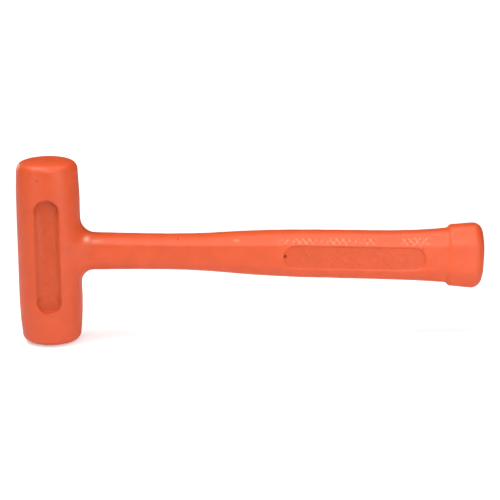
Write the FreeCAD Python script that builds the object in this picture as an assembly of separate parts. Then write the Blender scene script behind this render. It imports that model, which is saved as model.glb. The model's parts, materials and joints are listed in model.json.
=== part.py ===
"""Dead blow mallet: a cast urethane body over a welded steel skeleton filled with loose shot.

Millimetres. The origin is the centre of the lower striking face, +Z runs up the axis of the head
and +X points along the handle to the pommel. The front of the mallet faces -Y.
"""
import FreeCAD, Part
import math
import os

V = FreeCAD.Vector

# ---- driving dimensions ----------------------------------------------------------------------
# Head: a barrel with a flat disc in the middle of each striking face
HEAD_LENGTH = 122.0
HEAD_RADIUS = 20.6
STRAIGHT_HALF = 30.0          # half length of the cylindrical middle of the head
BARREL_RATE_UPPER = 0.0013    # radius lost past the cylindrical middle, per mm squared
BARREL_RATE_LOWER = 0.0023
FACE_DISC_RADIUS = 7.0
SHOULDER_RADIUS = 26.0        # crown between the face disc and the corner
CORNER_RADIUS = 6.0
CORNER_START = 2.0            # length past the corner arc at which the rim's radius is taken

# Recess in the front and the back of the head
HEAD_RECESS_LENGTH = 74.4
HEAD_RECESS_WIDTH = 15.8
HEAD_RECESS_FLOOR = 15.7      # distance of the flat floor from the head's axis
HEAD_RECESS_RISE = -0.3       # height of its middle above the head's middle

# Handle: stations along its axis as (distance from the head's axis, half height, half thickness, share of
# the half height at which the bevels end)
HANDLE_HEIGHT = 61.4          # height of the handle's axis where it meets the head's axis
HANDLE_DROOP = 1.8            # degrees by which the handle is off square, towards the lower face
NECK_STATIONS = [(32, 12.3, 9.5, 0.735), (55, 11.95, 9.5, 0.73), (78, 11.85, 9.6, 0.71),
                 (100, 12.45, 9.9, 0.69), (121, 13.9, 10.4, 0.68), (142, 15.1, 10.8, 0.7),
                 (163, 15.72, 11.0, 0.72), (195, 16.05, 11.0, 0.75), (226, 16.38, 11.0, 0.77),
                 (247, 17.25, 11.15, 0.785), (259, 18.17, 11.6, 0.805)]
POMMEL_STATIONS = [(259, 18.17, 11.6, 0.805), (260.4, 19.3, 12.4, 0.81), (262.5, 20.6, 12.8, 0.82),
                   (270, 21.2, 13.1, 0.82), (277, 21.7, 13.3, 0.82)]
POMMEL_END = 284.2
POMMEL_CORNER = 5.0           # inset of the end's rim
POMMEL_RIM_ANGLES = (30, 55, 75)
POMMEL_END_CROWN = 1.2        # length of the slightly crowned end past the rim
POMMEL_END_INSETS = (12.0, 8.0)   # of the end's flat middle, in half height and half thickness
FLARE_RADIUS = 8.6            # fillet between the neck and the head
FLARE_ANGLES = (75, 58, 40, 20, 0)
FLARE_INNER = [(15.5, 1.0), (18.2, 0.4)]   # stations buried in the head, and their rise past the fillet
BEVEL_ANGLE = 27.0            # tilt of the long bevels from the flat front and back
CREASE_AT_NECK = 6.3          # half height of the flat front where the half height is NECK_HALF
CREASE_GROWTH = 0.38
NECK_HALF = 12.0

# Recess in the front and the back of the grip
GRIP_RECESS_START = 152.2
GRIP_RECESS_END = 245.0
GRIP_RECESS_HEIGHT = 16.1
GRIP_RECESS_FLOOR = 9.8       # distance of the flat floor from the handle's middle plane
GRIP_RECESS_RISE = -0.65      # height of its middle above the handle's axis

# Steel skeleton
CANISTER_RADIUS = 14.3
CANISTER_WALL = 1.2
CANISTER_LENGTH = 99.0
CAP_THICKNESS = 3.0
CAP_WELD = 1.4                # leg of the weld bead round each cap
ROD_RADIUS = 4.75
ROD_START = 8.0               # before coping, inside the canister's outside
ROD_END = 262.0
COLLAR_RADIUS = 7.5
COLLAR_END = 25.0
SADDLE_WELD = 2.2
SADDLE_WELD_START = 10.8      # before coping, inside the canister's outside
SADDLE_WELD_LENGTH = 7.04
ROD_WELD = 1.8
WASHER_RADIUS = 9.0
WASHER_THICKNESS = 2.5
WASHER_PLACE = 254.0
FIT_GAP = 0.05                # between pieces of the skeleton
BOND_GAP = 0.1                # between the skeleton and the casting

# Loose steel shot, stacked in close-packed layers
SHOT_RADIUS = 2.38
SHOT_PITCH = 4.86
SHOT_LAYERS = 15
SHOT_CLEARANCE = 0.3          # between the charge and the canister
SHOT_SEARCH = 5               # rows and columns tried each side of a layer's middle

CUT_MARGIN = 1.0              # by which cutting tools reach past what they cut

# ---- derived dimensions ----------------------------------------------------------------------
HEAD_MIDDLE = HEAD_LENGTH / 2
CANISTER_BOTTOM = HEAD_MIDDLE - CANISTER_LENGTH / 2
CANISTER_TOP = HEAD_MIDDLE + CANISTER_LENGTH / 2
BORE_RADIUS = CANISTER_RADIUS - CANISTER_WALL
LAYER_RISE = SHOT_PITCH * math.sqrt(2 / 3)
X_AXIS = V(1, 0, 0)


# ---- helpers ---------------------------------------------------------------------------------
def placed_on_handle(shape):
    """Moves a shape built along +X from the origin onto the drooping axis of the handle."""
    shape = shape.copy()
    shape.rotate(V(0, 0, 0), V(0, 1, 0), HANDLE_DROOP)
    shape.translate(V(0, 0, HANDLE_HEIGHT))
    return shape


def rod_along_x(radius, start, end):
    return Part.makeCylinder(radius, end - start, V(start, 0, 0), X_AXIS)


def ring_along_x(inner, outer, start, end):
    return rod_along_x(outer, start, end).cut(rod_along_x(inner, start - CUT_MARGIN, end + CUT_MARGIN))


def revolved(points, axis):
    """Revolves a closed outline of straight edges a full turn about an axis through the origin."""
    face = Part.Face(Part.makePolygon(points + [points[0]]))
    return face.revolve(V(0, 0, 0), axis, 360)


def obround(length, width, depth):
    """Prism of a slot with round ends: length along X, width along Z, depth along +Y from the origin."""
    r = width / 2
    h = length / 2 - r
    edges = [
        Part.makeLine(V(-h, 0, r), V(h, 0, r)),
        Part.Arc(V(h, 0, r), V(h + r, 0, 0), V(h, 0, -r)).toShape(),
        Part.makeLine(V(h, 0, -r), V(-h, 0, -r)),
        Part.Arc(V(-h, 0, -r), V(-h - r, 0, 0), V(-h, 0, r)).toShape(),
    ]
    return Part.Face(Part.Wire(edges)).extrude(V(0, depth, 0))


# ---- casting ---------------------------------------------------------------------------------
def barrel_radius(height, rate):
    """Radius of the head at a height away from its middle."""
    return HEAD_RADIUS - rate * max(0.0, height - STRAIGHT_HALF) ** 2


def half_head(rate):
    """Upper half of a barrel: side, corner arc, shoulder arc and face disc, revolved."""
    half = HEAD_LENGTH / 2
    rim = barrel_radius(half - CORNER_RADIUS - CORNER_START, rate)
    reach = SHOULDER_RADIUS - CORNER_RADIUS
    corner = V(rim - CORNER_RADIUS, 0, 0)
    corner.z = half - SHOULDER_RADIUS + math.sqrt(reach ** 2 - (corner.x - FACE_DISC_RADIUS) ** 2)
    shoulder = V(FACE_DISC_RADIUS, 0, half - SHOULDER_RADIUS)
    meet = math.atan2(corner.z - shoulder.z, corner.x - shoulder.x)

    def on_arc(centre, radius, angle):
        return centre + V(radius * math.cos(angle), 0, radius * math.sin(angle))

    side_top = V(rim, 0, corner.z)
    side_start = V(HEAD_RADIUS, 0, STRAIGHT_HALF)
    middle = (STRAIGHT_HALF + corner.z) / 2
    side_middle = V(barrel_radius(middle, rate), 0, middle)
    shoulder_end = on_arc(shoulder, SHOULDER_RADIUS, meet)
    edges = [
        Part.makeLine(V(0, 0, 0), V(HEAD_RADIUS, 0, 0)),
        Part.makeLine(V(HEAD_RADIUS, 0, 0), side_start),
        Part.Arc(side_start, side_middle, side_top).toShape(),
        Part.Arc(side_top, on_arc(corner, CORNER_RADIUS, meet / 2), shoulder_end).toShape(),
        Part.Arc(shoulder_end, on_arc(shoulder, SHOULDER_RADIUS, (meet + math.pi / 2) / 2),
                 V(FACE_DISC_RADIUS, 0, half)).toShape(),
        Part.makeLine(V(FACE_DISC_RADIUS, 0, half), V(0, 0, half)),
        Part.makeLine(V(0, 0, half), V(0, 0, 0)),
    ]
    return Part.Face(Part.Wire(edges)).revolve(V(0, 0, 0), V(0, 0, 1), 360)


def head_body():
    lower = half_head(BARREL_RATE_LOWER).mirror(V(0, 0, 0), V(0, 0, 1))
    body = half_head(BARREL_RATE_UPPER).fuse(lower).removeSplitter()
    body.translate(V(0, 0, HEAD_MIDDLE))
    return body


def handle_section(place, half_height, half_thickness, bevel_top):
    """Cross-section of the handle: flat sides, long bevels and crowned top and bottom."""
    crease = CREASE_AT_NECK + CREASE_GROWTH * (half_height - NECK_HALF)
    top = bevel_top * half_height
    edge = half_thickness - (top - crease) * math.tan(math.radians(BEVEL_ANGLE))
    corners = [V(place, -half_thickness, -crease), V(place, -half_thickness, crease), V(place, -edge, top),
               V(place, edge, top), V(place, half_thickness, crease), V(place, half_thickness, -crease),
               V(place, edge, -top), V(place, -edge, -top)]
    crowns = {2: V(place, 0, half_height), 6: V(place, 0, -half_height)}
    edges = []
    for i, start in enumerate(corners):
        end = corners[(i + 1) % len(corners)]
        if i in crowns:
            edges.append(Part.Arc(start, crowns[i], end).toShape())
        else:
            edges.append(Part.makeLine(start, end))
    return Part.Wire(edges)


def loft(stations, ruled=False):
    return Part.makeLoft([handle_section(*s) for s in stations], True, ruled)


def flare_stations():
    """Neck stations that swell into the head like a fillet, ending inside the head."""
    height, thickness, bevel_top = NECK_STATIONS[0][1:]
    start = HEAD_RADIUS + FLARE_RADIUS
    side_centre = thickness + FLARE_RADIUS
    side_start = math.sqrt((HEAD_RADIUS + FLARE_RADIUS) ** 2 - side_centre ** 2)

    def half_thickness(place):
        if place >= side_start:
            return thickness
        return side_centre - math.sqrt(max(0.0, FLARE_RADIUS ** 2 - (side_start - place) ** 2))

    stations = []
    for place, rise in FLARE_INNER:
        stations.append((place, height + FLARE_RADIUS + rise, half_thickness(place), bevel_top))
    for angle in FLARE_ANGLES:
        place = start - FLARE_RADIUS * math.sin(math.radians(angle))
        rise = FLARE_RADIUS * (1 - math.cos(math.radians(angle)))
        stations.append((place, height + rise, half_thickness(place), bevel_top))
    return stations


def pommel_end_stations():
    """Stations that round the pommel's rim over into its slightly crowned end."""
    start, height, thickness, bevel_top = POMMEL_STATIONS[-1]
    stations = [POMMEL_STATIONS[-1]]
    for angle in POMMEL_RIM_ANGLES:
        inset = POMMEL_CORNER * (1 - math.cos(math.radians(angle)))
        place = start + (POMMEL_END - POMMEL_END_CROWN - start) * math.sin(math.radians(angle))
        stations.append((place, height - inset, thickness - inset, bevel_top))
    lost_height, lost_thickness = POMMEL_END_INSETS
    stations.append((POMMEL_END, height - lost_height, thickness - lost_thickness, bevel_top))
    return stations


def handle_body():
    body = loft(flare_stations() + NECK_STATIONS)
    body = body.fuse(loft(POMMEL_STATIONS, ruled=True))
    return body.fuse(loft(pommel_end_stations(), ruled=True))


def recesses():
    """Obround recesses in the front and back of the head, and of the grip (built along the handle)."""
    head = obround(HEAD_RECESS_LENGTH, HEAD_RECESS_WIDTH, HEAD_RADIUS)
    head.rotate(V(0, 0, 0), V(0, 1, 0), 90)
    head.translate(V(0, HEAD_RECESS_FLOOR, HEAD_MIDDLE + HEAD_RECESS_RISE))
    length = GRIP_RECESS_END - GRIP_RECESS_START
    grip = obround(length, GRIP_RECESS_HEIGHT, GRIP_RECESS_FLOOR)
    grip.translate(V(GRIP_RECESS_START + length / 2, GRIP_RECESS_FLOOR, GRIP_RECESS_RISE))
    grip = placed_on_handle(grip)
    tools = []
    for tool in (head, grip):
        tools += [tool, tool.mirror(V(0, 0, 0), V(0, 1, 0))]
    return tools


def skeleton_cavity():
    """The space that the steel skeleton takes inside the casting, a bond line larger all round."""
    g = BOND_GAP
    cavity = Part.makeCylinder(CANISTER_RADIUS + g, CANISTER_LENGTH + 2 * g, V(0, 0, CANISTER_BOTTOM - g))
    parts = [
        rod_along_x(ROD_RADIUS + g, ROD_START, ROD_END + g),
        rod_along_x(COLLAR_RADIUS + g, ROD_START, COLLAR_END + g),
        weld_cone(COLLAR_RADIUS, SADDLE_WELD, SADDLE_WELD_LENGTH, SADDLE_WELD_START, g),
        weld_cone(ROD_RADIUS, ROD_WELD, ROD_WELD, COLLAR_END, g),
        rod_along_x(WASHER_RADIUS + g, WASHER_PLACE - g, WASHER_PLACE + WASHER_THICKNESS + g),
        weld_cone(ROD_RADIUS, ROD_WELD, ROD_WELD, WASHER_PLACE + WASHER_THICKNESS, g),
    ]
    for part in parts:
        cavity = cavity.fuse(placed_on_handle(part))
    return cavity


def urethane_casting():
    body = head_body().fuse(placed_on_handle(handle_body()))
    for tool in recesses():
        body = body.cut(tool)
    return body.cut(skeleton_cavity())


# ---- steel skeleton --------------------------------------------------------------------------
def weld_cone(radius, leg, length, start, grow=0.0):
    """Solid cone-shaped bead round a bar along X: full leg at its start, running out to the bar."""
    points = [V(start - grow, 0, 0), V(start - grow, 0, radius + leg + grow),
              V(start + length - leg, 0, radius + leg + grow), V(start + length + grow, 0, radius + grow),
              V(start + length + grow, 0, 0)]
    return revolved(points, X_AXIS)


def canister_tube():
    tube = Part.makeCylinder(CANISTER_RADIUS, CANISTER_LENGTH, V(0, 0, CANISTER_BOTTOM))
    bore_start = V(0, 0, CANISTER_BOTTOM - CUT_MARGIN)
    return tube.cut(Part.makeCylinder(BORE_RADIUS, CANISTER_LENGTH + 2 * CUT_MARGIN, bore_start))


def canister_cap():
    """Plug pressed into the tube's end, chamfered round its outside for the weld; outside faces -Z."""
    r = BORE_RADIUS - FIT_GAP
    points = [V(0, 0, 0), V(r - CAP_WELD, 0, 0), V(r, 0, CAP_WELD), V(r, 0, CAP_THICKNESS),
              V(0, 0, CAP_THICKNESS)]
    return revolved(points, V(0, 0, 1))


def cap_weld():
    """Bead that fills the groove between the cap's chamfer and the tube."""
    outer = BORE_RADIUS - FIT_GAP
    inner = outer - CAP_WELD
    gap = FIT_GAP * 2
    points = [V(inner + gap, 0, 0), V(outer, 0, 0), V(outer, 0, CAP_WELD - gap)]
    return revolved(points, V(0, 0, 1))


def at_lower_end(shape):
    shape.translate(V(0, 0, CANISTER_BOTTOM))
    return shape


def at_upper_end(shape):
    shape.rotate(V(0, 0, 0), X_AXIS, 180)
    shape.translate(V(0, 0, CANISTER_TOP))
    return shape


def coped_to_canister(shape):
    """Cuts a piece of the handle's skeleton to the outside of the canister."""
    return shape.cut(Part.makeCylinder(CANISTER_RADIUS + FIT_GAP, HEAD_LENGTH))


def handle_rod():
    return coped_to_canister(placed_on_handle(rod_along_x(ROD_RADIUS, ROD_START, ROD_END)))


def saddle_collar():
    ring = ring_along_x(ROD_RADIUS + FIT_GAP, COLLAR_RADIUS, ROD_START, COLLAR_END)
    return coped_to_canister(placed_on_handle(ring))


def bead(radius, leg, length, start):
    solid = weld_cone(radius, leg, length, start)
    bar = rod_along_x(radius + FIT_GAP, start - CUT_MARGIN, start + length + CUT_MARGIN)
    return placed_on_handle(solid.cut(bar))


def tail_washer():
    end = WASHER_PLACE + WASHER_THICKNESS
    return placed_on_handle(ring_along_x(ROD_RADIUS + FIT_GAP, WASHER_RADIUS, WASHER_PLACE, end))


# ---- shot charge -----------------------------------------------------------------------------
def shot_layer(index):
    """One close-packed layer of balls; every second layer sits in the hollows of the one below."""
    shift = V(0, 0, 0) if index % 2 == 0 else V(0, SHOT_PITCH / math.sqrt(3), 0)
    height = CANISTER_BOTTOM + CAP_THICKNESS + SHOT_CLEARANCE + SHOT_RADIUS + index * LAYER_RISE
    limit = BORE_RADIUS - SHOT_CLEARANCE - SHOT_RADIUS
    balls = []
    for row in range(-SHOT_SEARCH, SHOT_SEARCH + 1):
        for column in range(-SHOT_SEARCH, SHOT_SEARCH + 1):
            x = (column + row / 2) * SHOT_PITCH
            centre = V(x, row * SHOT_PITCH * math.sqrt(3) / 2, height) + shift
            if math.hypot(centre.x, centre.y) <= limit:
                balls.append(Part.makeSphere(SHOT_RADIUS, centre))
    return Part.makeCompound(balls)


def build_nodes():
    saddle_weld = bead(COLLAR_RADIUS, SADDLE_WELD, SADDLE_WELD_LENGTH, SADDLE_WELD_START)
    nodes = {
        "urethane_casting": urethane_casting(),
        "canister_tube": canister_tube(),
        "canister_cap_lower": at_lower_end(canister_cap()),
        "canister_cap_upper": at_upper_end(canister_cap()),
        "cap_weld_lower": at_lower_end(cap_weld()),
        "cap_weld_upper": at_upper_end(cap_weld()),
        "handle_rod": handle_rod(),
        "saddle_collar": saddle_collar(),
        "saddle_weld": coped_to_canister(saddle_weld),
        "rod_weld": bead(ROD_RADIUS, ROD_WELD, ROD_WELD, COLLAR_END + FIT_GAP),
        "tail_washer": tail_washer(),
        "tail_weld": bead(ROD_RADIUS, ROD_WELD, ROD_WELD, WASHER_PLACE + WASHER_THICKNESS + FIT_GAP),
    }
    for index in range(SHOT_LAYERS):
        nodes["shot_layer_%02d" % (index + 1)] = shot_layer(index)
    return nodes


os.makedirs("parts", exist_ok=True)
for name, shape in build_nodes().items():
    shape.exportStep("parts/%s.step" % name)
    box = shape.BoundBox
    print("%-20s solids %2d valid %s volume %9.1f  x %.1f %.1f  y %.1f %.1f  z %.1f %.1f" % (
        name, len(shape.Solids), shape.isValid(), shape.Volume,
        box.XMin, box.XMax, box.YMin, box.YMax, box.ZMin, box.ZMax))
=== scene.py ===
"""Dead blow mallet: the cast urethane body as a fine mesh, over the CAD model's steel skeleton and shot.

The casting's surface is described by one signed distance, in millimetres: a barrel for the head and a
bevelled handle joined by a fillet, less the recesses. That surface is meshed on a grid, refined where it
has fine detail, and every vertex is then moved exactly onto it.
"""
import json
import math

import bmesh
import bpy
import numpy as np
from mathutils import Matrix, Vector


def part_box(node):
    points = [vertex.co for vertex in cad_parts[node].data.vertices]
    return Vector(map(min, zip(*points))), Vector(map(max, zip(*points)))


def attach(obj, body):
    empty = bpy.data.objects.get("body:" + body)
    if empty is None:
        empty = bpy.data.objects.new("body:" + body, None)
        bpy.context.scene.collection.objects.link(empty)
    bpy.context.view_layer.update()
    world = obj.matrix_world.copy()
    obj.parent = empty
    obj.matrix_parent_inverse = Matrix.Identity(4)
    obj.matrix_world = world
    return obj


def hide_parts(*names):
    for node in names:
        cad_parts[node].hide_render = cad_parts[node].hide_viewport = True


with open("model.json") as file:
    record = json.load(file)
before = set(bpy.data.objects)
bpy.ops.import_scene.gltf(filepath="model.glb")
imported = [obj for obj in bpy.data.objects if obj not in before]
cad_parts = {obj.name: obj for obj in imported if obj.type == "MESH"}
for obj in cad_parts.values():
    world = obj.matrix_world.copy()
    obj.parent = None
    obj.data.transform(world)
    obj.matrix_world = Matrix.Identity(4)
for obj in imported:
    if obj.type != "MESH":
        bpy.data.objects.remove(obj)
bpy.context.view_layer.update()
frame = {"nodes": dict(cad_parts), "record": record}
MM = 0.001

# ---- places and sizes taken from the frame, in millimetres ------------------------------------
CASTING_LOW, CASTING_HIGH = [np.array(corner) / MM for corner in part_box("urethane_casting")]
HEAD_RADIUS = -CASTING_LOW[0]
HEAD_HALF = (CASTING_HIGH[2] - CASTING_LOW[2]) / 2
HEAD_MIDDLE = (CASTING_HIGH[2] + CASTING_LOW[2]) / 2
GRIP = next(m for m in frame["record"]["mounts"] if m["name"] == "grip")
AXIS = np.array(GRIP["axis"]) / np.linalg.norm(GRIP["axis"])
UPRIGHT = np.array([-AXIS[2], 0, AXIS[0]])
GRIP_POINT = np.array(GRIP["pos_m"]) / MM
AXIS_START = GRIP_POINT - AXIS * GRIP_POINT[0] / AXIS[0]
END_SETBACK = 0.95  # the photo shows the pommel's end a little short of the CAD box
HANDLE_END = CASTING_HIGH[0] / AXIS[0] - END_SETBACK

# ---- shape of the casting, in millimetres -----------------------------------------------------
# Head: a barrel that narrows from STRAIGHT_HALF above and below its middle, with crowned faces
STRAIGHT_HALF = 30.0
BARREL_RATE_UPPER = 0.0013
BARREL_RATE_LOWER = 0.0023
FACE_DISC_RADIUS = 7.0
SHOULDER_RADIUS = 26.0
CORNER_RADIUS = 6.0
FACE_FALL = 2.0  # roughly how far a face falls from its disc to its corner

# Head recess. Its rim has one draft and fillet along its sides, and another round its ends.
SLOT_HALF_LENGTH = 37.2
SLOT_RADIUS = 7.9
SLOT_MIDDLE = -0.3
SLOT_FLOOR = 15.7
SLOT_LIP = 0.8
SLOT_RIM_DEPTH = 3.2
SLOT_SIDE_DRAFT = 0.85
SLOT_END_DRAFT = 0.08
SLOT_SIDE_FILLET = 2.8
SLOT_END_FILLET = 1.0
SLOT_END_REACH = 12.0  # the ends' shape starts this far from them
SLOT_END_BLEND = 8.0   # and is full after this much more

# Handle: (distance along its axis, value)
HALF_HEIGHT = [(0, 13.6), (32, 12.3), (55, 11.95), (78, 11.85), (100, 12.45), (121, 13.9), (142, 15.1),
               (163, 15.72), (195, 16.05), (226, 16.38), (247, 17.25), (259, 18.17), (265, 18.68),
               (272, 19.3), (278, 19.8), (290, 20.4)]
CENTRE_RISE = [(22, -0.2), (50, 0), (110, 0.2), (180, 0), (245, 0), (264, 0.4), (285, 0.4)]
HALF_THICKNESS = [(0, 9.8), (40, 9.5), (90, 9.6), (121, 10.4), (150, 10.9), (195, 11.0), (247, 11.15),
                  (259, 11.4), (290, 12.2)]
BEVEL_TOP_SHARE = [(0, 0.7), (55, 0.665), (100, 0.645), (125, 0.65), (150, 0.7), (195, 0.75),
                   (245, 0.78), (257, 0.8), (263, 0.82)]
CROWN_SOFTNESS = [(0, 2.4), (35, 1.7), (130, 1.7), (170, 2.3), (250, 2.6)]

# Pommel: the step up to it, then its rounded end
POMMEL_STEP_START = 258.7
POMMEL_STEP_LENGTH = 3.0
POMMEL_STEP_HEIGHT = 2.05
POMMEL_STEP_THICKNESS = 1.2
POMMEL_CORNER = 5.9
POMMEL_CROWN = 120.0

# Bevels, from a crease on each side up and down to the crown. The crease's height grows with the handle's.
BEVEL_ANGLE = math.radians(27)
CREASE_AT_NECK = 6.3
CREASE_GROWTH = 0.38
NECK_HALF = 12.0
CREASE_SOFTNESS = 0.8

# Fillet between head and handle, from its lower radius to its upper one over this height
FILLET_TOP = 9.2
FILLET_BOTTOM = 7.9
FILLET_BLEND = 16.0

# Grip recess
PANEL_START = 152.2
PANEL_END = 245.0
PANEL_CENTRE = -0.65
PANEL_RADIUS = 8.05
PANEL_FLOOR = 9.8
PANEL_DRAFT = 0.7
PANEL_RIM_DEPTH = 1.2
PANEL_LIP = 0.8
PANEL_FILLET = 0.4

# Grip texture on the upper bevels, a worn crosshatch between these distances along the handle
HATCH_PITCH = 4.4
HATCH_HEIGHT = 0.3
HATCH_SHARPNESS = 12
HATCH_SHIFT = 0.6
HATCH_SPANS = [(146, 214), (226, 250)]
HATCH_FADE = 5.0
HATCH_LEAST = 0.08
HATCH_FOOT = (0.2, 0.8)  # starts this far above the crease, and is full after the second length
HATCH_HEAD = (0.9, 1.2)  # ends this far above the bevel's top, and fades over the second length

# Low relief on the recess floors, rows of plain lozenges: the row's places, then one lozenge's half sizes.
# The lone one is on the front's upper bevel, as (distance along the handle, height, half sizes).
RELIEF_HEIGHT = 0.22
RELIEF_STROKE = 0.55
PANEL_ROW = np.arange(166, 236, 9.2)
PANEL_LOZENGE = (3.3, 4.4)
SLOT_ROW = np.arange(-24, 22, 9.0)
SLOT_LOZENGE = (3.2, 4.3)
LONE_LOZENGE = (121.2, 9.7, 2.5, 1.2)

# Casting flaws on the front, as (x or distance along the handle, height, radius, depth). A negative depth
# is a pip.
HEAD_FLAWS = [(-5.0, 49.6, 0.5, 0.6)]
HANDLE_FLAWS = [(83.6, 9.6, 0.5, 0.6), (153.1, 0.0, 0.75, 1.6), (243.0, 6.9, 0.4, 0.5),
                (143.4, 0.5, 0.6, -0.3)]

# Unevenness of the cast skin
WANDER_DEPTH = 0.07

# Painted light and wear: how far outside each recess its painted shade ends and over what length it fades,
# how strong the grip's is beside the head's, how pale the hatch is (partly wear, partly a painted highlight)
# and where that starts, then painted highlights and glints as (distance along the handle, height, half sizes,
# strength)
SLOT_SHADE_EDGE = (1.3, 1.0)
PANEL_SHADE_EDGE = (0.5, 0.5)
PANEL_SHADE_SHARE = 0.5
# Pale colour on the hatch: partly real wear, partly a painted highlight where the bevel's sheen falls.
HATCH_WEAR_AND_HIGHLIGHT = 0.5
HATCH_WEAR_AND_HIGHLIGHT_START = PANEL_START - 20
# Painted highlights: glints on the neck's fillet and along its crease, and on the lone lozenge.
PAINTED_GLINTS = [(24.4, 9.6, 1.7, 1.4, 0.85), (30.5, 8.3, 4.0, 0.8, 0.3), (121.2, 9.7, 2.2, 1.0, 0.25)]

# Mesh: the first grid and the room round it, then how near a detail the mesh is halved once or more.
# Handle details start at HANDLE_CLEAR along its axis, and the head's recess starts beyond SLOT_SKIN from
# the middle plane.
GRID_STEP = 1.2
GRID_MARGIN = 3.0
HANDLE_CLEAR = 34.0
SLOT_REACH = 1.8
SLOT_SKIN = 14.0
PANEL_REACH = 1.6
CREASE_REACH = 1.2
STEP_REACH = 3.2
FLAW_REACH = 2.5
FLAW_CORE = 1.5
LONE_REACH = (3.5, 2.2)
HATCH_REACH = 1.0


# ---- distance field helpers -------------------------------------------------------------------
def smooth_curve(stations):
    """A smooth function through (place, value) stations, level beyond both ends."""
    at, value = np.array(stations, float).T
    slope = np.gradient(value, at)

    def curve(s):
        s = np.clip(s, at[0], at[-1])
        i = np.clip(np.searchsorted(at, s) - 1, 0, len(at) - 2)
        h = at[i + 1] - at[i]
        t = (s - at[i]) / h
        rest = 1 - t
        return ((1 + 2 * t) * rest ** 2 * value[i] + t * rest ** 2 * h * slope[i]
                + t ** 2 * (3 - 2 * t) * value[i + 1] - t ** 2 * rest * h * slope[i + 1])

    return curve


def step_up(t):
    """Smoothly from 0 to 1 as t goes from 0 to 1."""
    t = np.clip(t, 0, 1)
    return t * t * (3 - 2 * t)


def soft_max(a, b, k):
    """Larger of two distances, with the edge between them softened over k."""
    h = np.maximum(k - np.abs(a - b), 0) / k
    return np.maximum(a, b) + h * h * k / 4


def rounded_and(a, b, r):
    """Inside both, with an edge of radius r."""
    return np.minimum(-r, np.maximum(a, b)) + np.hypot(np.maximum(a + r, 0), np.maximum(b + r, 0))


def filleted_or(a, b, r):
    """Inside either, with a fillet of radius r."""
    return np.maximum(r, np.minimum(a, b)) - np.hypot(np.maximum(r - a, 0), np.maximum(r - b, 0))


def obround(along, across, half_length, radius):
    """Distance from a slot with round ends, in its plane."""
    return np.hypot(np.maximum(np.abs(along) - (half_length - radius), 0), across) - radius


# ---- the casting's field ----------------------------------------------------------------------
half_height_at = smooth_curve(HALF_HEIGHT)
half_thickness_at = smooth_curve(HALF_THICKNESS)
centre_rise_at = smooth_curve(CENTRE_RISE)
bevel_top_share_at = smooth_curve(BEVEL_TOP_SHARE)
crown_softness_at = smooth_curve(CROWN_SOFTNESS)


def head_field(x, y, h):
    """Barrel with a corner arc, a shoulder arc and a flat disc in each face; h is from the middle."""
    rho = np.hypot(x, y)
    rate = np.where(h > 0, BARREL_RATE_UPPER, BARREL_RATE_LOWER)
    h = np.abs(h)
    rim = HEAD_RADIUS - rate * (HEAD_HALF - CORNER_RADIUS - FACE_FALL - STRAIGHT_HALF) ** 2
    shoulder_h = HEAD_HALF - SHOULDER_RADIUS
    corner_rho = rim - CORNER_RADIUS
    corner_h = shoulder_h + np.sqrt((SHOULDER_RADIUS - CORNER_RADIUS) ** 2
                                    - (corner_rho - FACE_DISC_RADIUS) ** 2)
    meet = np.arctan2(corner_h - shoulder_h, corner_rho - FACE_DISC_RADIUS)
    side = rho - (HEAD_RADIUS - rate * np.maximum(0, np.minimum(h, corner_h) - STRAIGHT_HALF) ** 2)
    on_corner = np.hypot(rho - corner_rho, h - corner_h) - CORNER_RADIUS
    on_shoulder = np.hypot(rho - FACE_DISC_RADIUS, h - shoulder_h) - SHOULDER_RADIUS
    angle = np.arctan2(h - shoulder_h, rho - FACE_DISC_RADIUS)
    face = h - HEAD_HALF
    end = np.where(rho < FACE_DISC_RADIUS, face, np.where(angle < meet, on_corner, on_shoulder))
    return np.where(h < corner_h, side, end)


def handle_coordinates(x, z):
    """Distance along the handle's axis, and height above the middle of the section there."""
    dx, dz = x - AXIS_START[0], z - AXIS_START[2]
    s = dx * AXIS[0] + dz * AXIS[2]
    return s, dx * UPRIGHT[0] + dz * UPRIGHT[2] - centre_rise_at(s)


def handle_measures(s):
    """Half height, half thickness, and the heights of the crease and of the bevel's top."""
    step = step_up((s - POMMEL_STEP_START) / POMMEL_STEP_LENGTH)
    height = half_height_at(s) + POMMEL_STEP_HEIGHT * step
    thickness = half_thickness_at(s) + POMMEL_STEP_THICKNESS * step
    crease = CREASE_AT_NECK + CREASE_GROWTH * (height - NECK_HALF)
    return height, thickness, crease, bevel_top_share_at(s) * height


def handle_field(s, y, w):
    """Flat sides, bevels and a crowned top and bottom, cut off at the pommel's end and at the head's axis."""
    height, thickness, crease, top = handle_measures(s)
    side = np.abs(y) - thickness
    over = np.abs(w)
    bevel = side * math.cos(BEVEL_ANGLE) + (over - crease) * math.sin(BEVEL_ANGLE)
    chord = thickness - (top - crease) * math.tan(BEVEL_ANGLE)
    bend = chord ** 2 / (2 * (height - top))
    crown = (over - height + y * y / (2 * bend)) / np.hypot(1, y / bend)
    section = soft_max(soft_max(side, bevel, CREASE_SOFTNESS), crown, crown_softness_at(s))
    end = s - HANDLE_END + (y * y + w * w) / (2 * POMMEL_CROWN)
    return np.maximum(rounded_and(section, end, POMMEL_CORNER), -s)


def slot_outline(x, h):
    """Distance from the head recess's outline, in the middle plane."""
    return obround(h - SLOT_MIDDLE, x, SLOT_HALF_LENGTH, SLOT_RADIUS)


def slot_field(x, y, h):
    """The recess in the front and back of the head."""
    depth = np.abs(y) - SLOT_FLOOR
    ends = step_up((np.abs(h - SLOT_MIDDLE) - SLOT_HALF_LENGTH + SLOT_END_REACH) / SLOT_END_BLEND)
    draft = SLOT_SIDE_DRAFT + (SLOT_END_DRAFT - SLOT_SIDE_DRAFT) * ends
    fillet = SLOT_SIDE_FILLET + (SLOT_END_FILLET - SLOT_SIDE_FILLET) * ends
    return rounded_and(slot_outline(x, h) - draft * (depth - SLOT_RIM_DEPTH), -depth, fillet)


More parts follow.
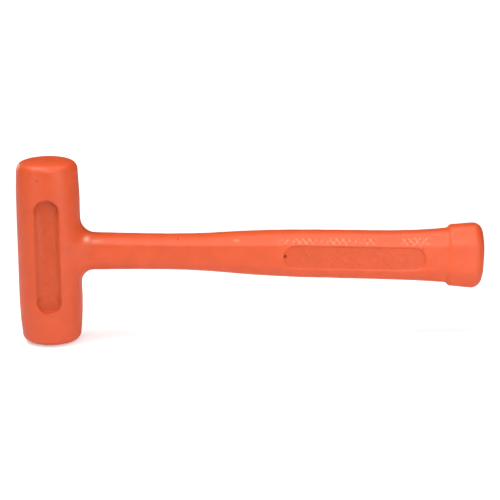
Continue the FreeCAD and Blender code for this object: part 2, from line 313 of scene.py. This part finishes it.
def panel_outline(s, w):
    """Distance from the grip recess's outline, in the middle plane."""
    middle = (PANEL_START + PANEL_END) / 2
    return obround(s - middle, w - PANEL_CENTRE, (PANEL_END - PANEL_START) / 2, PANEL_RADIUS)


def panel_field(s, y, w):
    """The recess in the front and back of the grip."""
    depth = np.abs(y) - PANEL_FLOOR
    return rounded_and(panel_outline(s, w) - PANEL_DRAFT * (depth - PANEL_RIM_DEPTH), -depth, PANEL_FILLET)


def wander(x, y, z):
    """Long uneven waves over the whole casting, within about 1, from a few crossed sines."""
    return (np.sin(x * 0.21 + 1.3 * np.sin(z * 0.13)) * np.sin(z * 0.17 + 0.7)
            + 0.6 * np.sin(x * 0.43 + y * 0.31 + 2.1) * np.sin(z * 0.37 + y * 0.2)) / 1.6


def hatch(s, w):
    """Height of the worn crosshatch on the upper bevels, from 0 to 1."""
    _, _, crease, top = handle_measures(s)
    foot = step_up((w - crease - HATCH_FOOT[0]) / HATCH_FOOT[1])
    head = step_up((top + HATCH_HEAD[0] - w) / HATCH_HEAD[1])
    spans = 0
    for start, end in HATCH_SPANS:
        spans = spans + step_up((s - start) / HATCH_FADE) * step_up((end - s) / HATCH_FADE)
    worn = 0.5 + 0.35 * np.sin(s * 0.53 + 0.9) * np.sin(s * 0.29 + 2.0) + 0.45 * np.sin(s * 1.71 + w * 1.3)
    turn = math.pi / HATCH_PITCH
    ridges = np.maximum(np.cos(turn * (s + w)) ** HATCH_SHARPNESS,
                        np.cos(turn * (s - w) + HATCH_SHIFT) ** HATCH_SHARPNESS)
    return foot * head * spans * np.clip(worn, HATCH_LEAST, 1) * ridges


def lozenge_ring(a, b, half_a, half_b):
    """Height of a raised lozenge outline, from 0 to 1: full for half a stroke each side, then falling."""
    distance = (np.abs(a) / half_a + np.abs(b) / half_b - 1) * half_a * half_b / math.hypot(half_a, half_b)
    return step_up(1.5 - np.abs(distance) / RELIEF_STROKE)


def relief(x, h, s, w):
    """Height of the lozenges on the recess floors, from 0 to 1."""
    marks = 0
    for place in SLOT_ROW:
        marks = marks + lozenge_ring(h - place, x, *SLOT_LOZENGE)
    for place in PANEL_ROW:
        marks = marks + lozenge_ring(s - place, w - PANEL_CENTRE, *PANEL_LOZENGE)
    return marks


def dents(across, up, flaws):
    """Depth of the small round flaws."""
    return sum(depth * np.exp(-((across - place) ** 2 + (up - height) ** 2) / radius ** 2)
               for place, height, radius, depth in flaws)


def casting_field(points, detail=True):
    """The whole casting, with or without its hatch, relief and flaws."""
    x, y, z = points
    h = z - HEAD_MIDDLE
    s, w = handle_coordinates(x, z)
    fillet = FILLET_BOTTOM + (FILLET_TOP - FILLET_BOTTOM) * step_up(0.5 + w / FILLET_BLEND)
    field = filleted_or(head_field(x, y, h), handle_field(s, y, w), fillet) - WANDER_DEPTH * wander(x, y, z)
    marks = 0
    if detail:
        place, up, half_s, half_w = LONE_LOZENGE
        lone = lozenge_ring(s - place, w - up, half_s, half_w) * (y < 0)
        field = field - HATCH_HEIGHT * hatch(s, w) - RELIEF_HEIGHT * lone
        marks = RELIEF_HEIGHT * relief(x, h, s, w)
    field = rounded_and(field, -slot_field(x, y, h) - marks, SLOT_LIP)
    field = rounded_and(field, -panel_field(s, y, w) - marks, PANEL_LIP)
    if detail:
        field = field + (dents(x, h, HEAD_FLAWS) + dents(s, w, HANDLE_FLAWS)) * (y < 0)
    return field


def gradient(points, reach=0.03):
    """The field's slope at each point, by differences."""
    slopes = []
    for i in range(3):
        offset = np.zeros((3, 1))
        offset[i] = reach
        slopes.append(casting_field(points + offset) - casting_field(points - offset))
    return np.array(slopes) / (2 * reach)


def onto_surface(points, rounds=4, least_slope=0.05):
    """Moves points along the field's gradient until they lie on the surface."""
    for _ in range(rounds):
        g = gradient(points)
        points = points - g * (casting_field(points) / np.maximum((g * g).sum(0), least_slope))
    return points


# ---- meshing ----------------------------------------------------------------------------------
def surface_net(low, high, step):
    """Quads round the surface: one vertex in each grid cell that it crosses."""
    axes = [np.arange(a, b + step, step) for a, b in zip(low, high)]
    grid = np.array(np.meshgrid(*axes, indexing="ij"))
    values = casting_field(grid.reshape(3, -1), detail=False).reshape(grid.shape[1:])
    shape = np.array(values.shape) - 1
    corners = [(i, j, k) for i in (0, 1) for j in (0, 1) for k in (0, 1)]

    def corner_values(c):
        return values[c[0]:c[0] + shape[0], c[1]:c[1] + shape[1], c[2]:c[2] + shape[2]]

    count = sum((corner_values(c) < 0).astype(int) for c in corners)
    cells = np.argwhere((count > 0) & (count < len(corners)))
    number = -np.ones(shape, int)
    number[tuple(cells.T)] = np.arange(len(cells))
    total = np.zeros((len(cells), 3))
    hits = np.zeros(len(cells))
    for c in corners:
        for axis in range(3):
            if c[axis]:
                continue
            d = list(c)
            d[axis] = 1
            a = values[tuple((cells + c).T)]
            b = values[tuple((cells + d).T)]
            crossed = (a < 0) != (b < 0)
            t = np.where(crossed, a / np.where(crossed, a - b, 1), 0)
            place = np.array(c, float) + t[:, None] * (np.array(d) - np.array(c))
            total += place * crossed[:, None]
            hits += crossed
    points = (cells + total / hits[:, None]) * step + np.array(low)
    inside = values < 0
    quads = []
    for axis in range(3):
        u, v = (axis + 1) % 3, (axis + 2) % 3
        a = np.moveaxis(inside, axis, 0)
        change = np.moveaxis(a[1:] != a[:-1], 0, axis)
        edges = np.argwhere(change)
        edges = edges[(edges[:, u] > 0) & (edges[:, v] > 0)]
        ring = []
        for du, dv in ((-1, -1), (0, -1), (0, 0), (-1, 0)):
            cell = edges.copy()
            cell[:, u] += du
            cell[:, v] += dv
            ring.append(number[tuple(cell.T)])
        ring = np.array(ring).T
        outward = inside[tuple(edges.T)]
        ring[~outward] = ring[~outward][:, ::-1]
        quads.append(ring)
    return points.T, np.concatenate(quads)


def relaxed(points, edges, rounds, share=0.5):
    """Evens out the mesh: each point slides a share of the way to its neighbours' middle."""
    for _ in range(rounds):
        total = np.zeros_like(points)
        degree = np.zeros(points.shape[1])
        for a, b in ((0, 1), (1, 0)):
            np.add.at(degree, edges[:, a], 1)
            for i in range(3):
                np.add.at(total[i], edges[:, a], points[i][edges[:, b]])
        pull = total / degree - points
        g = gradient(points)
        g = g / np.linalg.norm(g, axis=0)
        pull = pull - g * (pull * g).sum(0)
        points = onto_surface(points + share * pull, rounds=1)
    return points


def detail_levels(points):
    """How many times to halve the mesh at these places."""
    x, y, z = points
    h = z - HEAD_MIDDLE
    s, w = handle_coordinates(x, z)
    _, _, crease, top = handle_measures(s)
    front = y < 0
    on_handle = s > HANDLE_CLEAR
    in_slot = ~on_handle & (slot_outline(x, h) < SLOT_REACH) & (np.abs(y) > SLOT_SKIN)
    in_panel = on_handle & (panel_outline(s, w) < PANEL_REACH)
    near_crease = on_handle & (np.abs(np.abs(w) - crease) < CREASE_REACH)
    near_step = on_handle & (np.abs(s - POMMEL_STEP_START - POMMEL_STEP_LENGTH / 2) < STEP_REACH)
    levels = np.zeros(points.shape[1], int)
    levels[in_slot | in_panel | near_crease | near_step] = 1
    levels[on_handle & hatch_zone(s, w, crease, top)] = 2
    for flaws, across, up in ((HEAD_FLAWS, x, h), (HANDLE_FLAWS, s, w)):
        for place, height, *_ in flaws:
            distance = np.hypot(across - place, up - height)
            levels[front & (distance < FLAW_REACH)] = 2
            levels[front & (distance < FLAW_CORE)] = 3
    place, height, *_ = LONE_LOZENGE
    levels[front & (np.abs(s - place) < LONE_REACH[0]) & (np.abs(w - height) < LONE_REACH[1])] = 2
    return levels


def hatch_zone(s, w, crease, top):
    """Where the crosshatch is."""
    band = (w > crease) & (w < top + HATCH_REACH)
    along = np.zeros(len(s), bool)
    for start, end in HATCH_SPANS:
        along |= (s > start) & (s < end)
    return band & along


def halved(mesh, rounds=3):
    """Halves the mesh where it has fine detail, keeping it on the surface."""
    for done in range(rounds):
        centres = np.zeros(len(mesh.polygons) * 3)
        mesh.polygons.foreach_get("center", centres)
        marked = np.flatnonzero(detail_levels(centres.reshape(-1, 3).T) > done)
        bm = bmesh.new()
        bm.from_mesh(mesh)
        bm.faces.ensure_lookup_table()
        chosen = {edge for i in marked for edge in bm.faces[int(i)].edges}
        bmesh.ops.subdivide_edges(bm, edges=list(chosen), cuts=1, use_grid_fill=True)
        bm.to_mesh(mesh)
        bm.free()
        points = np.zeros(len(mesh.vertices) * 3)
        mesh.vertices.foreach_get("co", points)
        points = onto_surface(points.reshape(-1, 3).T)
        mesh.vertices.foreach_set("co", points.T.ravel())
        mesh.update()
    return points


def skin_marks(points):
    """Where the skin's colour differs, from 0 to 1: painted shade in recesses, a pale hatch that is partly
    wear and partly a painted highlight, painted glints, and painted shade in the flaws' holes.
    """
    x, y, z = points
    h = z - HEAD_MIDDLE
    s, w = handle_coordinates(x, z)
    front = y < 0
    # Pale colour on the hatch, partly wear and partly a painted highlight, then painted glints on the front.
    wear_and_highlight = HATCH_WEAR_AND_HIGHLIGHT * hatch(s, w) * (s > HATCH_WEAR_AND_HIGHLIGHT_START)
    for place, up, length, height, strength in PAINTED_GLINTS:
        wear_and_highlight = wear_and_highlight + strength * front * np.exp(-((s - place) / length) ** 2 - ((w - up) / height) ** 2)
    # Painted shade: the flaws' holes are coloured dark where shade falls inside them.
    pits = front * (dents(x, h, HEAD_FLAWS) + dents(s, w, HANDLE_FLAWS))
    # Painted shade: a darker colour inside the recesses, fading out just past their rims.
    in_slot = step_up((SLOT_SHADE_EDGE[0] - slot_field(x, y, h)) / SLOT_SHADE_EDGE[1])
    in_panel = step_up((PANEL_SHADE_EDGE[0] - panel_field(s, y, w)) / PANEL_SHADE_EDGE[1])
    recess = np.maximum(in_slot, PANEL_SHADE_SHARE * in_panel)
    return {"recess": recess, "wear_and_highlight": np.clip(wear_and_highlight, 0, 1), "pit_shade": np.clip(pits, 0, 1)}


def casting_mesh():
    """The casting's mesh in metres, with its normals from the field and its skin marks as attributes."""
    points, quads = surface_net(CASTING_LOW - GRID_MARGIN, CASTING_HIGH + GRID_MARGIN, GRID_STEP)
    mesh = bpy.data.meshes.new("cast_body")
    mesh.from_pydata(points.T.tolist(), [], quads.tolist())
    mesh.validate()
    edges = np.zeros(len(mesh.edges) * 2, int)
    mesh.edges.foreach_get("vertices", edges)
    points = relaxed(onto_surface(points), edges.reshape(-1, 2), rounds=4)
    mesh.vertices.foreach_set("co", points.T.ravel())
    mesh.update()
    points = halved(mesh)
    mesh.vertices.foreach_set("co", (points * MM).T.ravel())
    mesh.shade_smooth()
    normals = gradient(points)
    normals = normals / np.linalg.norm(normals, axis=0)
    mesh.normals_split_custom_set_from_vertices(normals.T.tolist())
    for name, values in skin_marks(points).items():
        mesh.attributes.new(name, "FLOAT", "POINT").data.foreach_set("value", values)
    mesh.update()
    return mesh


# ---- materials --------------------------------------------------------------------------------
class Nodes:
    """Short calls for building a material's nodes."""

    def __init__(self, name):
        self.material = bpy.data.materials.new(name)
        self.material.use_nodes = True
        self.tree = self.material.node_tree
        self.shader = self.tree.nodes["Principled BSDF"]
        self.place = self.add("ShaderNodeTexCoord").outputs["Object"]

    def add(self, kind, **settings):
        node = self.tree.nodes.new(kind)
        for key, value in settings.items():
            setattr(node, key, value)
        return node

    def link(self, source, target):
        self.tree.links.new(source, target)

    def noise(self, scale, detail=2.0, roughness=0.5):
        node = self.add("ShaderNodeTexNoise")
        node.inputs["Scale"].default_value = scale
        node.inputs["Detail"].default_value = detail
        node.inputs["Roughness"].default_value = roughness
        self.link(self.place, node.inputs["Vector"])
        return node.outputs["Fac"]

    def ramp(self, source, stops):
        """A colour ramp, for a colour or for a plain number given as a grey."""
        node = self.add("ShaderNodeValToRGB")
        ramp = node.color_ramp
        while len(ramp.elements) < len(stops):
            ramp.elements.new(0.5)
        for element, (place, colour) in zip(ramp.elements, stops):
            element.position = place
            element.color = (*colour, 1) if isinstance(colour, tuple) else (colour,) * 3 + (1,)
        self.link(source, node.inputs["Fac"])
        return node.outputs["Color"]

    def mark(self, name):
        """One of the mesh's skin marks."""
        return self.add("ShaderNodeAttribute", attribute_name=name).outputs["Fac"]

    def mixed(self, factor, a, b, blend="MIX"):
        """One colour over another, by a factor; each colour is an output or a plain colour."""
        node = self.add("ShaderNodeMix", data_type="RGBA", blend_type=blend)
        colour_a, colour_b = node.inputs[6], node.inputs[7]
        for socket, value in ((node.inputs[0], factor), (colour_a, a), (colour_b, b)):
            if isinstance(value, (tuple, float)):
                socket.default_value = (*value, 1) if isinstance(value, tuple) else value
            else:
                self.link(value, socket)
        return node.outputs[2]

    def bump(self, source, strength, distance, under=None):
        """Relief from a height, over another bump where one is given."""
        node = self.add("ShaderNodeBump")
        node.inputs["Strength"].default_value = strength
        node.inputs["Distance"].default_value = distance
        self.link(source, node.inputs["Height"])
        if under is not None:
            self.link(under, node.inputs["Normal"])
        return node.outputs["Normal"]


# Colours, linear: the urethane; a pale colour for the hatch's wear and for painted highlights and glints;
# a dark colour painted into the flaws' holes as shade; and painted shade, multiplied over the urethane in the
# recesses.
URETHANE = (0.80, 0.102, 0.026)
PALE_WEAR_AND_HIGHLIGHT = (1.0, 0.50, 0.30)
PIT_SHADE = (0.30, 0.015, 0.005)
RECESS_SHADE = (0.85, 0.84, 0.66)


def shade(colour, factor):
    """A colour made darker or lighter."""
    return tuple(min(1.0, c * factor) for c in colour)


def urethane_material():
    """Cast urethane: a faintly clouded colour, satin gloss, a fine grain over long shallow waves."""
    n = Nodes("cast_urethane")
    cloud = n.noise(scale=90, detail=4, roughness=0.6)
    tone = n.ramp(cloud, [(0.3, shade(URETHANE, 0.94)), (0.7, shade(URETHANE, 1.05))])
    # Painted shade in the recesses.
    tone = n.mixed(n.mark("recess"), tone, n.mixed(1.0, tone, RECESS_SHADE, "MULTIPLY"))
    # A pale colour: wear on the hatch, painted highlights and painted glints.
    tone = n.mixed(n.mark("wear_and_highlight"), tone, PALE_WEAR_AND_HIGHLIGHT)
    # Painted shade in the flaws' holes.
    tone = n.mixed(n.mark("pit_shade"), tone, PIT_SHADE)
    n.link(tone, n.shader.inputs["Base Color"])
    n.shader.inputs["Specular IOR Level"].default_value = 0.5
    n.link(n.ramp(n.noise(scale=400, detail=3), [(0.3, 0.34), (0.7, 0.45)]), n.shader.inputs["Roughness"])
    grain = n.bump(n.noise(scale=2600, detail=2), strength=0.12, distance=0.00025)
    waves = n.bump(n.noise(scale=350, detail=3), strength=0.15, distance=0.0006, under=grain)
    n.link(waves, n.shader.inputs["Normal"])
    return n.material


def steel_material(name, colour, roughness, grain=1500):
    """Bare steel with a mottled colour, uneven gloss and a fine grain."""
    n = Nodes(name)
    mottle = n.noise(scale=grain / 4, detail=4, roughness=0.65)
    tone = n.ramp(mottle, [(0.25, shade(colour, 0.7)), (0.75, shade(colour, 1.2))])
    n.link(tone, n.shader.inputs["Base Color"])
    n.shader.inputs["Metallic"].default_value = 1.0
    gloss = n.ramp(n.noise(scale=grain, detail=3), [(0.3, roughness * 0.8), (0.7, roughness * 1.25)])
    n.link(gloss, n.shader.inputs["Roughness"])
    n.link(n.bump(n.noise(scale=grain, detail=3), strength=0.3, distance=0.0003), n.shader.inputs["Normal"])
    return n.material


def floor_material():
    """A plain white floor, overexposed away from the object as on a lit sweep.

    Only the camera sees the glow, so that it doesn't light the mallet from below.
    """
    n = Nodes("studio_floor")
    n.link(n.ramp(n.noise(scale=3, detail=2), [(0.3, 0.93), (0.7, 0.95)]), n.shader.inputs["Base Color"])
    n.shader.inputs["Roughness"].default_value = 0.9
    away = n.add("ShaderNodeVectorMath", operation="LENGTH")
    n.link(n.place, away.inputs[0])
    glow = n.add("ShaderNodeMath", operation="MULTIPLY")
    n.link(n.ramp(away.outputs["Value"], FLOOR_GLOW), glow.inputs[0])
    n.link(n.add("ShaderNodeLightPath").outputs["Is Camera Ray"], glow.inputs[1])
    n.link(glow.outputs["Value"], n.shader.inputs["Emission Strength"])
    n.shader.inputs["Emission Color"].default_value = (1, 1, 1, 1)
    return n.material


# ---- pieces -----------------------------------------------------------------------------------
def add_object(name, data):
    thing = bpy.data.objects.new(name, data)
    bpy.context.scene.collection.objects.link(thing)
    return thing


def make_casting():
    """The one piece seen from outside, in place of the CAD model's casting."""
    piece = add_object("cast_body", casting_mesh())
    piece.data.materials.append(urethane_material())
    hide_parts("urethane_casting")
    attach(piece, "mallet_body")


def dress_skeleton():
    """Steel for the CAD nodes inside: tube and caps, weld beads, bar and washer, shot."""
    tube = steel_material("drawn_tube", (0.45, 0.45, 0.46), 0.35)
    bar = steel_material("rolled_bar", (0.33, 0.32, 0.32), 0.5)
    bead = steel_material("weld_metal", (0.30, 0.28, 0.26), 0.55, grain=900)
    ball = steel_material("shot_steel", (0.62, 0.62, 0.63), 0.22, grain=2500)
    chosen = {"canister_tube": tube, "canister_cap_lower": tube, "canister_cap_upper": tube,
              "cap_weld_lower": bead, "cap_weld_upper": bead, "saddle_weld": bead, "rod_weld": bead,
              "tail_weld": bead, "handle_rod": bar, "saddle_collar": bar, "tail_washer": bar}
    for name, node in frame["nodes"].items():
        material = ball if name.startswith("shot_layer") else chosen.get(name)
        if material:
            node.data.materials.clear()
            node.data.materials.append(material)


# ---- stage, light and camera ------------------------------------------------------------------
# Camera, solved from the photograph's outline: the point it looks at and its distance, in metres, its angles,
# and its sensor and lens in millimetres
CAMERA_TARGET = Vector((0.13066, 0, 0.05907))
CAMERA_DISTANCE = 1.315
CAMERA_AZIMUTH = math.radians(-1.36)
CAMERA_ELEVATION = math.radians(13.21)
CAMERA_ROLL = math.radians(-0.66)
CAMERA_SENSOR = 36.0
CAMERA_LENS = 144.9

# Softboxes: place, side in metres and power in watts. Each looks at the nearest point of the mallet's middle
# line, given as its first and last x and its height.
SOFTBOXES = {"key_softbox": ((-0.21, -0.34, 0.82), 0.45, 1.0),
             "front_softbox": ((0.13, -0.75, 0.66), 0.25, 1.6),
             "upper_left_softbox": ((-0.33, -0.12, 0.82), 0.45, 3.9),
             "low_left_softbox": ((-0.50, -0.63, 0.14), 0.45, 0.8),
             "head_softbox": ((-0.04, -0.36, 0.60), 0.15, 0.26),
             "grip_softbox": ((0.32, -0.35, 0.30), 0.3, 0.48),
             "low_grip_softbox": ((0.40, -0.34, 0.07), 0.25, 0.4),
             "grip_top_softbox": ((0.28, -0.05, 0.50), 0.3, 0.65),
             "back_softbox": ((-0.50, 0.75, 0.20), 0.3, 1.2)}
MIDDLE_LINE = ((0.0, 0.26), 0.06)
WORLD_STRENGTH = 0.04

# Floor: its half size, and its glow as (distance from the mallet's middle, strength)
FLOOR_HALF = 6.0
FLOOR_GLOW = ((0.2, 0.5), (0.8, 1.0))


def make_camera():
    """The photograph's view."""
    data = bpy.data.cameras.new("camera")
    data.sensor_width = CAMERA_SENSOR
    data.lens = CAMERA_LENS
    camera = add_object("camera", data)
    flat = math.cos(CAMERA_ELEVATION)
    back = Vector((math.sin(CAMERA_AZIMUTH) * flat, -math.cos(CAMERA_AZIMUTH) * flat,
                   math.sin(CAMERA_ELEVATION)))
    level = back.to_track_quat("Z", "Y")
    camera.matrix_world = (Matrix.Translation(CAMERA_TARGET + back * CAMERA_DISTANCE)
                           @ (level.to_matrix() @ Matrix.Rotation(CAMERA_ROLL, 3, "Z")).to_4x4())
    bpy.context.scene.camera = camera


def make_floor():
    """A wide flat floor under the lower striking face."""
    mesh = bpy.data.meshes.new("floor")
    corners = [(x * FLOOR_HALF, y * FLOOR_HALF, 0) for x, y in ((-1, -1), (1, -1), (1, 1), (-1, 1))]
    mesh.from_pydata(corners, [], [(0, 1, 2, 3)])
    floor = add_object("floor", mesh)
    floor.location.x = CAMERA_TARGET.x
    mesh.materials.append(floor_material())


def make_softbox(name, place, side, power):
    data = bpy.data.lights.new(name, "AREA")
    data.size = side
    data.energy = power
    light = add_object(name, data)
    (start, end), height = MIDDLE_LINE
    aim = Vector((min(max(place[0], start), end), 0, height))
    light.location = place
    light.rotation_euler = (Vector(place) - aim).to_track_quat("Z", "Y").to_euler()


def make_light():
    """The softboxes, and faint white light from all round, which the camera sees as full white."""
    world = bpy.data.worlds.new("studio")
    world.use_nodes = True
    background = world.node_tree.nodes["Background"]
    background.inputs["Color"].default_value = (1, 1, 1, 1)
    strength = world.node_tree.nodes.new("ShaderNodeMath")
    strength.operation = "MAXIMUM"
    strength.inputs[0].default_value = WORLD_STRENGTH
    rays = world.node_tree.nodes.new("ShaderNodeLightPath")
    world.node_tree.links.new(rays.outputs["Is Camera Ray"], strength.inputs[1])
    world.node_tree.links.new(strength.outputs["Value"], background.inputs["Strength"])
    bpy.context.scene.world = world
    for name, (place, side, power) in SOFTBOXES.items():
        make_softbox(name, place, side, power)


make_camera()
make_casting()
dress_skeleton()
make_floor()
make_light()
bpy.context.scene.view_settings.view_transform = "Standard"
